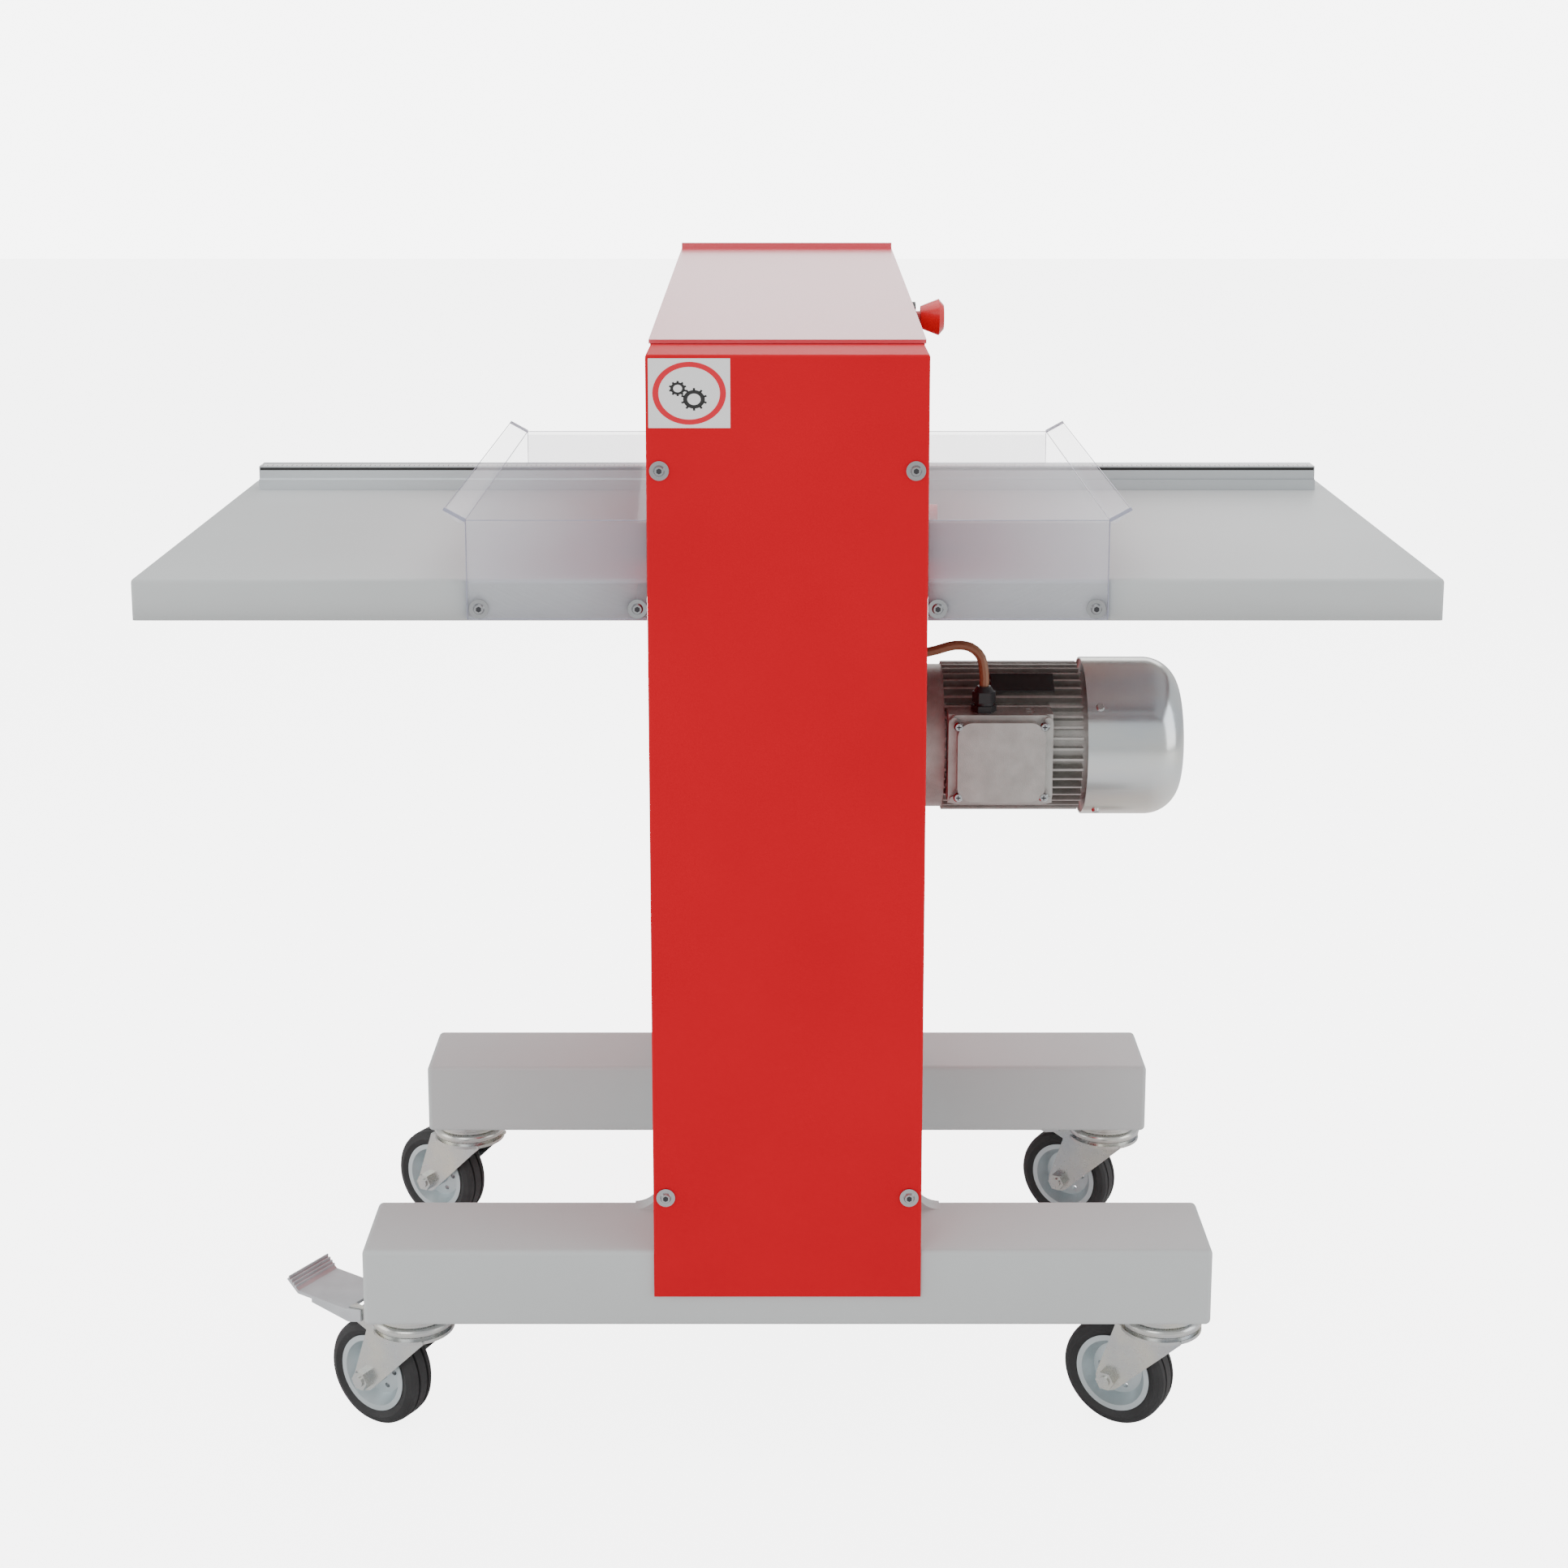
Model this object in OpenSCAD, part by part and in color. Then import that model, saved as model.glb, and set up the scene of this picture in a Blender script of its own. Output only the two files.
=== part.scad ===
// Roller press on castors: two geared rollers between side plates, an infeed and
// an outfeed table, clear guards, a sheet-metal housing and a worm gearmotor.
// X runs along the sheet path, Y along the rollers, Z up, with the floor at Z = 0.

/* [Housing] */
// Width of the housing along the sheet path
housing_w = 236; // [200:1:290]
// Depth of the housing, gear cover to cabinet panel
housing_d = 800; // [760:5:960]
// Height of the bottom edge of the gear cover and the cabinet
cover_bottom = 158; // [140:1:180]
// Height of the gear cover's top face above the upper roller axis
cover_rise = 140; // [125:1:170]
// Thickness of the housing sheet
sheet_t = 2; // [1.5:0.5:3]
// Rise of the lid towards the cabinet, degrees
lid_slope = 2.2; // [0:0.2:4]
// Height of the turned-up lip at the far end of the lid
lid_lip = 8; // [6:1:20]

/* [Frame] */
// Length of the foot beams
beam_len = 754; // [640:2:920]
// Width of the foot beams
beam_w = 100; // [90:1:120]
// Height of the foot beams
beam_h = 72; // [60:1:90]
// Wall of the foot beams
beam_wall = 4; // [3:0.5:6]
// Distance between the two beams' centre lines
beam_pitch = 414; // [380:2:500]
// Thickness of the side plates
plate_t = 18; // [15:1:22]
// Reach of the side plates' flared feet past the plate
plate_flare = 24; // [15:1:40]
// Diameter of the tie bars between the side plates
tie_d = 30; // [24:1:36]

/* [Tables] */
// Height of the table tops
table_h = 804; // [760:1:900]
// Length of both tables over the whole machine
table_len = 1112; // [960:2:1340]
// Width of the tables
table_w = 517; // [500:1:560]
// Depth of the tables' folded skirt
skirt_h = 36; // [30:1:45]
// Corner radius of the tables' outer ends
table_r = 6; // [3:1:12]
// Height of the guide rails
rail_h = 24; // [18:1:30]
// Width of the guide rails' foot
rail_w = 30; // [24:1:40]

/* [Guards] */
// Reach of each guard from the housing
guard_len = 153; // [120:1:200]
// Height of the guards' roof above the tables
guard_h = 51; // [45:1:65]
// Thickness of the clear sheet
guard_t = 3; // [2:0.5:4]

/* [Rollers] */
// Diameter of the rollers
roller_d = 100; // [90:1:108]
// Gap between the rollers
nip_gap = 2; // [1:0.5:4]
// Diameter of the roller journals
journal_d = 30; // [25:1:35]
// Outer diameter of the roller bearings
bearing_od = 62; // [55:1:72]
// Face width of the gears
gear_w = 30; // [24:1:40]

/* [Gearmotor] */
// Distance between the worm and the worm wheel
worm_a = 61; // [58:1:66]
// Diameter of the motor over its fan cover
motor_d = 152; // [140:1:160]
// Distance from the housing to the end of the fan cover
motor_reach = 261; // [250:1:300]
// Diameter of the motor cable
cable_d = 9; // [7:0.5:10]

/* [Castors] */
// Height of a castor, floor to beam
castor_h = 128; // [126:1:140]
// Diameter of the castor wheels
wheel_d = 100; // [90:1:102]
// Width of the castor tyres
wheel_w = 32; // [28:1:34]
// Trail of the castor wheels behind their swivel
castor_trail = 40; // [34:1:44]
// Angle at which the castors stand
castor_yaw = -32; // [-60:1:60]

/* [Hidden] */
$fn = 48;
eps = 0.5;            // overrun of a cut past the face that it opens
run = 0.05;           // radial clearance of a shaft in its bore
gap = 1;              // clearance between sheet pieces that only pass each other

// Depth stations, from the gear cover to the cabinet panel
front_y = -housing_d / 2;
beam1_y = front_y + sheet_t + gap;
beam2_y = beam1_y + beam_pitch;
frame_y0 = beam1_y + beam_w;              // inner face of the near side plate
frame_y1 = beam2_y + beam_w - plate_t;    // inner face of the far side plate
near_y = frame_y0 - plate_t;              // outer face of the near side plate
far_y = frame_y1 + plate_t;               // outer face of the far side plate
back_y = housing_d / 2;
mid_y = (frame_y0 + frame_y1) / 2;
table_y0 = beam1_y + 12;
table_y1 = table_y0 + table_w;

// Heights
beam_top = castor_h + beam_h;
lower_z = table_h - roller_d / 2;
roller_pitch = roller_d + nip_gap;
upper_z = lower_z + roller_pitch;
drive_z = lower_z - roller_pitch;
motor_z = drive_z - worm_a;
cover_top = upper_z + cover_rise;
lid_z = cover_top + 2;                    // underside of the lid at its near end
plate_top = cover_top - 45;
slot_z0 = table_h - skirt_h - sheet_t;
slot_z1 = table_h + 20;
wall_z0 = beam_top + plate_flare + 20;

// Half widths
wall_x = housing_w / 2;
plate_x = wall_x - sheet_t;
table_x = table_len / 2;

// Gears: three equal gears, pitched at the rollers' spacing
gear_teeth = 24;
gear_module = roller_pitch / gear_teeth;
gear_y0 = near_y - gear_w - 10;

// Fasteners
screw_head = 16.5;
screw_d = 6;
pillar_d = 14;
cover_screw_x = wall_x - 11;
cover_screw_z = [cover_bottom + 94, cover_top - 97];

// Motor
motor_y = mid_y - 1;
motor_x0 = wall_x + 21;                   // seat of the motor on its adapter
motor_x1 = wall_x + motor_reach;          // end of the fan cover
fan_x0 = motor_x1 - 95;                   // open edge of the fan cover
body_r = motor_d / 2 - 14;
box_x0 = motor_x0 + 12;
box_w = 98;
box_h = 86;
box_y = motor_y - body_r - 24;            // joint between terminal box and lid

// Route of the motor cable, from its gland to the hole in the wall
cable_z = motor_z + 98;
gland_x = box_x0 + 34;
gland_y = motor_y - body_r - 10;
gland_z = motor_z + box_h / 2;
cable_route = [[gland_x, gland_y, gland_z + 24], [gland_x, gland_y, gland_z + 34],
    [gland_x - 3, gland_y, cable_z - 4], [gland_x - 13, gland_y, cable_z + 6],
    [gland_x - 28, gland_y, cable_z + 8], [wall_x + 20, gland_y, cable_z + 3],
    [wall_x + 6, gland_y, cable_z], [wall_x - 6, gland_y, cable_z],
    [wall_x - 24, gland_y, cable_z]];

estop_y = 0;
jog_y = frame_y0 + 45;
jog_z = slot_z1 + 14;

castor_x = beam_len / 2 - 37;
castor_y = [beam1_y + beam_w / 2, beam2_y + beam_w / 2];
castor_at = [[-castor_x, castor_y[0]], [castor_x, castor_y[0]],
    [-castor_x, castor_y[1]], [castor_x, castor_y[1]]];
stud_d = 12;
race_d = 74;
axle_d = 10;
tyre_bore = 72;
wheel_z = wheel_d / 2;
fork_x = wheel_w / 2 + 5;                 // inner face of a fork leg
pedal_pin = [-castor_trail - 8, castor_h - 16];

// ---- shared shapes ----

function at_lid(y) = lid_z + (y - near_y) * tan(lid_slope);

// A rounded rectangle with true arcs, centred
module rounded(w, d, r) {
    square([w - 2 * r, d], center = true);
    square([w, d - 2 * r], center = true);
    for (x = [-1, 1], y = [-1, 1])
        translate([x * (w / 2 - r), y * (d / 2 - r)]) circle(r);
}

// A block between two corners
module block(a, b) {
    translate(a) cube(b - a);
}

// Extrudes an outline drawn in X and Z from y0 to y1
module slab(y0, y1) {
    translate([0, y1, 0]) rotate([90, 0, 0]) linear_extrude(y1 - y0) children();
}

// Extrudes an outline drawn in Y and Z from x0 to x1
module side_slab(x0, x1) {
    translate([x0, 0, 0]) rotate([90, 0, 90]) linear_extrude(x1 - x0) children();
}

module rod_x(x0, x1, d, y, z) {
    translate([x0, y, z]) rotate([0, 90, 0]) cylinder(h = x1 - x0, d = d);
}

module rod_y(y0, y1, d, x, z) {
    translate([x, y1, z]) rotate([90, 0, 0]) cylinder(h = y1 - y0, d = d);
}

// A button-head screw with a flange, its head pointing to -Y at the face y
module screw_y(x, y, z, length = 12, dir = -1) {
    translate([x, y, z]) rotate([-90 * dir, 0, 0]) {
        difference() {
            union() {
                cylinder(h = 1.2, d = screw_head);
                cylinder(h = 3.4, d1 = screw_head * 0.68, d2 = screw_head * 0.45, $fn = 32);
            }
            translate([0, 0, 1.6]) cylinder(h = 3, d = 4, $fn = 6);
        }
        translate([0, 0, -length]) cylinder(h = length, d = screw_d - 2 * run);
    }
}

module gear_outline(teeth, m, bore) {
    pitch_r = teeth * m / 2;
    difference() {
        union() {
            circle(pitch_r - 1.25 * m, $fn = 96);
            for (i = [0:teeth - 1]) rotate(i * 360 / teeth)
                polygon([[pitch_r - 1.4 * m, -0.95 * m], [pitch_r - 0.5 * m, -0.86 * m],
                    [pitch_r + 0.35 * m, -0.56 * m], [pitch_r + 0.9 * m, -0.26 * m],
                    [pitch_r + 0.9 * m, 0.26 * m], [pitch_r + 0.35 * m, 0.56 * m],
                    [pitch_r - 0.5 * m, 0.86 * m], [pitch_r - 1.4 * m, 0.95 * m]]);
        }
        circle(d = bore);
    }
}

module spur_gear(z, turn) {
    translate([0, 0, z]) slab(gear_y0, gear_y0 + gear_w) rotate(turn)
        gear_outline(gear_teeth, gear_module, journal_d + 2 * run);
}

// ---- frame ----

module beam(y0) {
    color("gainsboro") difference() {
        translate([0, y0 + beam_w / 2, castor_h + beam_h / 2]) difference() {
            cube([beam_len, beam_w, beam_h], center = true);
            cube([beam_len - 8, beam_w - 2 * beam_wall, beam_h - 2 * beam_wall],
                center = true);
        }
        for (x = [-1, 1]) translate([x * castor_x, y0 + beam_w / 2, castor_h - eps])
            cylinder(h = beam_wall + 2 * eps, d = stud_d + 2 * run);
    }
}

module near_beam() { beam(beam1_y); }
module far_beam() { beam(beam2_y); }

module plate_outline() {
    difference() {
        union() {
            translate([-plate_x, beam_top]) square([2 * plate_x, plate_top - beam_top]);
            translate([-plate_x - plate_flare, beam_top])
                square([2 * (plate_x + plate_flare), plate_flare]);
        }
        for (s = [-1, 1]) translate([s * (plate_x + plate_flare), beam_top + plate_flare])
            circle(plate_flare);
        for (z = [lower_z, upper_z]) translate([0, z]) circle(d = bearing_od + 2 * run);
        for (p = tie_at) translate(p) circle(d = tie_d - 10 + 2 * run);
    }
}

tie_at = [[-70, beam_top + 60], [70, beam_top + 60], [0, upper_z + roller_d / 2 + 22]];

module near_side_plate() {
    color("lightgray") {
        difference() {
            union() {
                slab(near_y, frame_y0) plate_outline();
                for (x = [-1, 1], z = cover_screw_z)
                    rod_y(front_y + sheet_t, near_y + eps, pillar_d,
                        x * cover_screw_x, min(z, plate_top - pillar_d));
            }
            rod_y(near_y - eps, frame_y0 + eps, journal_d + 2 * run, 0, drive_z);
            for (x = [-1, 1], z = cover_screw_z)
                rod_y(front_y, front_y + 30, screw_d + 0.1, x * cover_screw_x,
                    min(z, plate_top - pillar_d));
        }
    }
}

module far_side_plate() {
    color("lightgray") slab(frame_y1, far_y) plate_outline();
}

module tie_bars() {
    color("silver") for (p = tie_at) {
        rod_y(frame_y0, frame_y1, tie_d, p[0], p[1]);
        rod_y(near_y, frame_y0, tie_d - 10, p[0], p[1]);
        rod_y(frame_y1, far_y, tie_d - 10, p[0], p[1]);
    }
}

module gearbox_shelf() {
    shelf_z = motor_z - 32;
    color("lightgray") {
        block([-75, frame_y0, shelf_z - 6], [58, frame_y1, shelf_z]);
        for (x = [-75, 52])
            block([x, frame_y0, shelf_z - 36], [x + 6, frame_y1, shelf_z - 6]);
    }
}

// ---- housing ----

module gear_cover() {
    color([0.89, 0, 0.16]) difference() {
        block([-wall_x, front_y, cover_bottom], [wall_x, near_y, cover_top]);
        block([-plate_x, front_y + sheet_t, beam_top + gap],
            [plate_x, near_y + eps, cover_top - sheet_t]);
        block([-wall_x - eps, front_y + sheet_t, cover_bottom - eps],
            [wall_x + eps, near_y + eps, beam_top + gap + eps]);
        for (x = [-1, 1], z = cover_screw_z)
            rod_y(front_y - eps, front_y + sheet_t + eps, screw_d + 0.2,
                x * cover_screw_x, z);
    }
}

module wall_sheet(side) {
    x0 = side > 0 ? plate_x : -wall_x;
    difference() {
        side_slab(x0, x0 + sheet_t) polygon([[near_y, wall_z0], [far_y, wall_z0],
            [far_y, at_lid(far_y)], [near_y, at_lid(near_y)]]);
        block([x0 - eps, frame_y0, slot_z0], [x0 + sheet_t + eps, frame_y1, slot_z1]);
    }
}

module left_wall() {
    color([0.89, 0, 0.16]) wall_sheet(-1);
}

module right_wall() {
    color([0.89, 0, 0.16]) difference() {
        wall_sheet(1);
        rod_x(plate_x - eps, wall_x + eps, 100, motor_y, motor_z);
        rod_x(plate_x - eps, wall_x + eps, cable_d + 2, gland_y, cable_z);
        rod_x(plate_x - eps, wall_x + eps, 22, estop_y, estop_z);
        rod_x(plate_x - eps, wall_x + eps, 10, jog_y, jog_z);
    }
}

panel_screw_z = [cover_bottom + 94, cover_top - 40];

module drive_cabinet() {
    panel_y = back_y - sheet_t;
    color([0.89, 0, 0.16]) {
        difference() {
            side_slab(-wall_x, wall_x) polygon([[far_y, cover_bottom],
                [panel_y, cover_bottom], [panel_y, at_lid(panel_y)],
                [far_y, at_lid(far_y)]]);
            block([-plate_x, far_y + sheet_t, cover_bottom + sheet_t],
                [plate_x, back_y, cover_top + 100]);
            for (z = [lower_z, upper_z])
                rod_y(far_y - eps, far_y + sheet_t + eps, journal_d + 20, 0, z);
        }
        for (x = [-1, 1], z = panel_screw_z) difference() {
            block([x * (plate_x - 9) - 9, panel_y - 14, z - 9],
                [x * (plate_x - 9) + 9, panel_y, z + 9]);
            rod_y(panel_y - 15, panel_y + 1, screw_d, x * cover_screw_x, z);
        }
    }
}

module cabinet_panel() {
    color([0.89, 0, 0.16]) difference() {
        block([-wall_x, back_y - sheet_t, cover_bottom],
            [wall_x, back_y, at_lid(back_y - sheet_t)]);
        for (x = [-1, 1], z = panel_screw_z)
            rod_y(back_y - sheet_t - eps, back_y + eps, screw_d + 0.2,
                x * cover_screw_x, z);
    }
}

module top_lid() {
    color([0.93, 0.35, 0.42]) side_slab(-wall_x - 1.2, wall_x + 1.2) polygon([
        [near_y - 3, cover_top + 0.4], [near_y - 1, cover_top + 0.4],
        [near_y - 1, at_lid(near_y - 1)], [back_y, at_lid(back_y)],
        [back_y, at_lid(back_y) + lid_lip], [back_y - sheet_t, at_lid(back_y) + lid_lip],
        [back_y - sheet_t, at_lid(back_y - sheet_t) + sheet_t],
        [near_y - 3, at_lid(near_y - 3) + sheet_t]]);
}

module cover_screws() {
    color("silver") for (x = [-1, 1]) {
        for (z = cover_screw_z) screw_y(x * cover_screw_x, front_y, z);
        for (z = panel_screw_z) screw_y(x * cover_screw_x, back_y, z, dir = 1);
    }
}

// ---- tables, rails and guards ----

// The right-hand table's plan, drawn in by t on its three folded sides
module table_plan(t) {
    r = table_r - t;
    x0 = wall_x + gap - (t > 0 ? eps : 0);
    x1 = table_x - t;
    translate([x0, table_y0 + t]) square([x1 - r - x0, table_w - 2 * t]);
    translate([x0, table_y0 + t + r]) square([x1 - x0, table_w - 2 * t - 2 * r]);
    for (y = [table_y0 + t + r, table_y1 - t - r]) translate([x1 - r, y]) circle(r);
}

module table() {
    color([0.85, 0.87, 0.87]) difference() {
        translate([0, 0, table_h - skirt_h]) linear_extrude(skirt_h) table_plan(0);
        translate([0, 0, table_h - skirt_h - eps])
            linear_extrude(skirt_h - sheet_t + eps) table_plan(sheet_t);
        for (x = guard_screw_x, y = [table_y0, table_y1])
            rod_y(y - 4, y + 4, screw_d + 0.2, x, guard_screw_z);
    }
}

module outfeed_table() { table(); }
module infeed_table() { mirror([1, 0, 0]) table(); }

module table_brackets() {
    color("lightgray") for (s = [-1, 1], y = [frame_y0, frame_y1 - 8])
        block([min(s * 60, s * (table_x - 150)), y, slot_z0 + 4],
            [max(s * 60, s * (table_x - 150)), y + 8, table_h - sheet_t]);
}

rail_y = table_y1 - 64;

module rail() {
    color("silver") side_slab(wall_x + 2 * gap, table_x - 16)
        polygon([[rail_y, table_h], [rail_y + rail_w, table_h],
            [rail_y + rail_w, table_h + rail_h], [rail_y + 4, table_h + rail_h],
            [rail_y + 4, table_h + rail_h * 0.45], [rail_y, table_h + rail_h * 0.45]]);
}

module outfeed_rail() { rail(); }
module infeed_rail() { mirror([1, 0, 0]) rail(); }

guard_x0 = wall_x + gap;
guard_x1 = wall_x + guard_len;
guard_screw_x = [guard_x0 + 8, guard_x1 - 10];
guard_screw_z = table_h - 25;

module guard() {
    y0 = table_y0 - guard_t;
    y1 = table_y1 + guard_t;
    roof = table_h + guard_h;
    color([0.8, 0.84, 0.95, 0.4]) {
        difference() {
            block([guard_x0, y0, table_h - skirt_h + 2], [guard_x1, y1, roof]);
            block([guard_x0 - eps, table_y0, 0], [guard_x1 + eps, table_y1, roof - guard_t]);
            for (x = guard_screw_x, y = [y0, y1])
                rod_y(y - 4, y + 4, screw_d + 0.2, x, guard_screw_z);
        }
        slab(y0, y1) polygon([[guard_x1, roof - guard_t], [guard_x1 + 6, roof + 1 - guard_t],
            [guard_x1 + 18, roof + 10 - guard_t], [guard_x1 + 16, roof + 10],
            [guard_x1 + 5, roof + 1.4], [guard_x1, roof]]);
    }
}

module outfeed_guard() { guard(); }
module infeed_guard() { mirror([1, 0, 0]) guard(); }

module guard_screws() {
    color("silver") for (s = [-1, 1], x = guard_screw_x) {
        screw_y(s * x, table_y0 - guard_t, guard_screw_z);
        screw_y(s * x, table_y1 + guard_t, guard_screw_z, dir = 1);
    }
}

// ---- rollers and gears ----

module roller(z) {
    color("silver") {
        rod_y(frame_y0 + 3, frame_y1 - 3, roller_d, 0, z);
        rod_y(gear_y0 - 4, frame_y0 + 3, journal_d, 0, z);
        rod_y(frame_y1 - 3, far_y + 6, journal_d, 0, z);
    }
}

module lower_roller() { roller(lower_z); }
module upper_roller() { roller(upper_z); }

module roller_bearings() {
    color("darkgray") for (z = [lower_z, upper_z], y = [near_y, frame_y1])
        translate([0, 0, z]) slab(y, y + plate_t) difference() {
            circle(d = bearing_od);
            circle(d = journal_d + 2 * run);
        }
}

module lower_gear() { color("dimgray") spur_gear(lower_z, 0); }
module upper_gear() { color("dimgray") spur_gear(upper_z, 180 / gear_teeth); }
module drive_gear() { color("dimgray") spur_gear(drive_z, 180 / gear_teeth); }

// ---- gearmotor ----

worm_module = 2.3;
wheel_teeth = 36;
worm_r = worm_a - wheel_teeth * worm_module / 2;   // pitch radius of the worm
worm_bore = 25;
worm_case_d = 2 * (worm_r + 0.7 * worm_module + 1.5);
wheel_case_r = (wheel_teeth / 2 + 1) * worm_module + 2.5;

module output_shaft() {
    color("silver") rod_y(gear_y0 - 4, motor_y + 40, journal_d, 0, drive_z);
    color("goldenrod") translate([0, 0, drive_z])
        slab(motor_y - 10, motor_y + 10) gear_outline(wheel_teeth, worm_module, 10);
}

module worm_shaft() {
    color("silver") {
        rod_x(-56, -40, 20, motor_y, motor_z);
        rod_x(-40, 40, 2 * (worm_r - 1.2 * worm_module), motor_y, motor_z);
        for (i = [-4:3]) translate([(i + 0.5) * PI * worm_module, motor_y, motor_z])
            rotate([0, 90, 0]) cylinder(h = worm_module, r = worm_r + 0.7 * worm_module,
                center = true);
        rod_x(40, 100, worm_bore, motor_y, motor_z);
    }
}

module gearbox() {
    color("silver") difference() {
        union() {
            slab(motor_y - 34, motor_y + 34) {
                translate([0, drive_z]) circle(wheel_case_r + 3.8);
                translate([-60, motor_z - 32]) square([120, drive_z - motor_z + 32]);
            }
            rod_y(motor_y - 46, motor_y + 46, 64, 0, drive_z);
        }
        rod_y(motor_y - 14, motor_y + 14, 2 * wheel_case_r, 0, drive_z);
        rod_x(-44, 46, worm_case_d, motor_y, motor_z);
        rod_y(motor_y - 50, motor_y + 42, journal_d + 2 * run, 0, drive_z);
        rod_x(-57, 0, 20 + 2 * run, motor_y, motor_z);
        rod_x(0, 61, worm_bore + 2 * run, motor_y, motor_z);
    }
}

module motor_adapter() {
    color("silver") difference() {
        union() {
            rod_x(60, motor_x0, 96, motor_y, motor_z);
            rod_x(motor_x0 - 10, motor_x0, 2 * body_r + 14, motor_y, motor_z);
        }
        rod_x(60 - eps, motor_x0 - 10, 66, motor_y, motor_z);
        rod_x(60, motor_x0 + eps, worm_bore + 2 * run, motor_y, motor_z);
    }
}

module motor_body() {
    fins = 44;
    fin_r = motor_d / 2 - 4;
    back_x = fan_x0 + 12;
    color("darkgray") difference() {
        union() {
            rod_x(motor_x0, back_x, 2 * body_r, motor_y, motor_z);
            rod_x(fan_x0 + 2, fan_x0 + 10, motor_d - 3, motor_y, motor_z);
            translate([motor_x0, motor_y, motor_z]) rotate([90, 0, 90])
                linear_extrude(10) circle(body_r + 7);
            translate([motor_x0 + 10, motor_y, motor_z]) rotate([90, 0, 90])
                linear_extrude(fan_x0 - motor_x0 - 14) for (i = [0:fins - 1])
                    rotate((i + 0.5) * 360 / fins)
                        translate([body_r - 2, -1.1]) square([fin_r - body_r + 2, 2.2]);
            block([box_x0, motor_y - body_r + 2, motor_z - box_h / 2],
                [box_x0 + box_w, motor_y - 30, motor_z + box_h / 2]);
        }
        block([box_x0 - 1, motor_y - body_r - 20, motor_z - box_h / 2 - 1],
            [box_x0 + box_w + 1, motor_y - body_r + 2, motor_z + box_h / 2 + 1]);
        rod_x(motor_x0 - eps, back_x - 8, 80, motor_y, motor_z);
        rod_x(back_x - 9, back_x + eps, 20 + 2 * run, motor_y, motor_z);
    }
}

module motor_rotor() {
    color("silver") {
        rod_x(100, motor_x0 + 8, worm_bore, motor_y, motor_z);
        rod_x(motor_x0 + 8, fan_x0 - 4, 76, motor_y, motor_z);
        rod_x(fan_x0 - 4, fan_x0 + 50, 20, motor_y, motor_z);
    }
}

module motor_fan() {
    x0 = fan_x0 + 22;
    color("dimgray") difference() {
        union() {
            rod_x(x0, x0 + 4, 116, motor_y, motor_z);
            rod_x(x0, x0 + 26, 34, motor_y, motor_z);
            translate([x0, motor_y, motor_z]) rotate([90, 0, 90]) linear_extrude(26)
                for (i = [0:7]) rotate(i * 45) translate([15, -1.2]) square([42, 2.4]);
        }
        rod_x(x0 - eps, x0 + 27, 20 + 2 * run, motor_y, motor_z);
    }
}

module dome(r, len, round_r) {
    rotate_extrude($fn = 96) {
        square([r - round_r, len]);
        square([r, len - round_r]);
        intersection() {
            translate([r - round_r, len - round_r]) circle(round_r);
            square([r, len]);
        }
    }
}

module fan_cover() {
    len = motor_x1 - fan_x0;
    t = 1.5;
    round_r = 34;
    color("lightsteelblue") translate([fan_x0, motor_y, motor_z]) rotate([0, 90, 0])
        difference() {
            dome(motor_d / 2, len, round_r);
            translate([0, 0, -eps]) dome(motor_d / 2 - t, len - t + eps, round_r - t);
            for (i = [0:11]) rotate(i * 30) translate([14, -2, len - 5]) cube([24, 4, 6]);
        }
}

module terminal_box() {
    x1 = box_x0 + box_w;
    z0 = motor_z - box_h / 2;
    z1 = motor_z + box_h / 2;
    color("darkgray") {
        difference() {
            block([box_x0, box_y, z0], [x1, motor_y - body_r + 2, z1]);
            block([box_x0 + 5, box_y - eps, z0 + 5], [x1 - 5, motor_y - body_r - 4, z1 - 5]);
            translate([gland_x, gland_y, z1 - 6]) cylinder(h = 7, d = 16 + 2 * run);
            for (y = [gland_y - 5, gland_y + 5]) translate([x1 - 20, y, z1 - 2])
                cylinder(h = 3, d = 8);
        }
        slab(box_y - 4, box_y) translate([box_x0 + box_w / 2, motor_z])
            rounded(box_w, box_h, 8);
        slab(box_y - 14, box_y - 4) translate([box_x0 + box_w / 2, motor_z])
            rounded(box_w - 16, box_h - 10, 14);
    }
    color("silver") for (x = [box_x0 + 5, x1 - 5], z = [z0 + 5, z1 - 5])
        rod_y(box_y - 7, box_y - 4, 7, x, z);
}

module cable_gland() {
    color([0.08, 0.08, 0.08]) translate([gland_x, gland_y, gland_z]) difference() {
        union() {
            translate([0, 0, -5]) cylinder(h = 6, d = 16);
            cylinder(h = 6, d = 24, $fn = 6);
            translate([0, 0, 6]) cylinder(h = 3, d = 18);
            translate([0, 0, 9]) cylinder(h = 10, d = 22, $fn = 6);
            translate([0, 0, 19]) cylinder(h = 5, d1 = 19, d2 = 13);
        }
        translate([0, 0, -6]) cylinder(h = 32, d = cable_d - 1);
    }
}

// A point of a smooth curve through the route, u counted in route points
function on_route(p, u) = let (
    i = min(floor(u), len(p) - 2), t = u - i,
    a = p[max(i - 1, 0)], b = p[i], c = p[i + 1], d = p[min(i + 2, len(p) - 1)])
    0.5 * (2 * b + t * (c - a) + t * t * (2 * a - 5 * b + 4 * c - d)
        + t * t * t * (3 * b - a - 3 * c + d));

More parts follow.
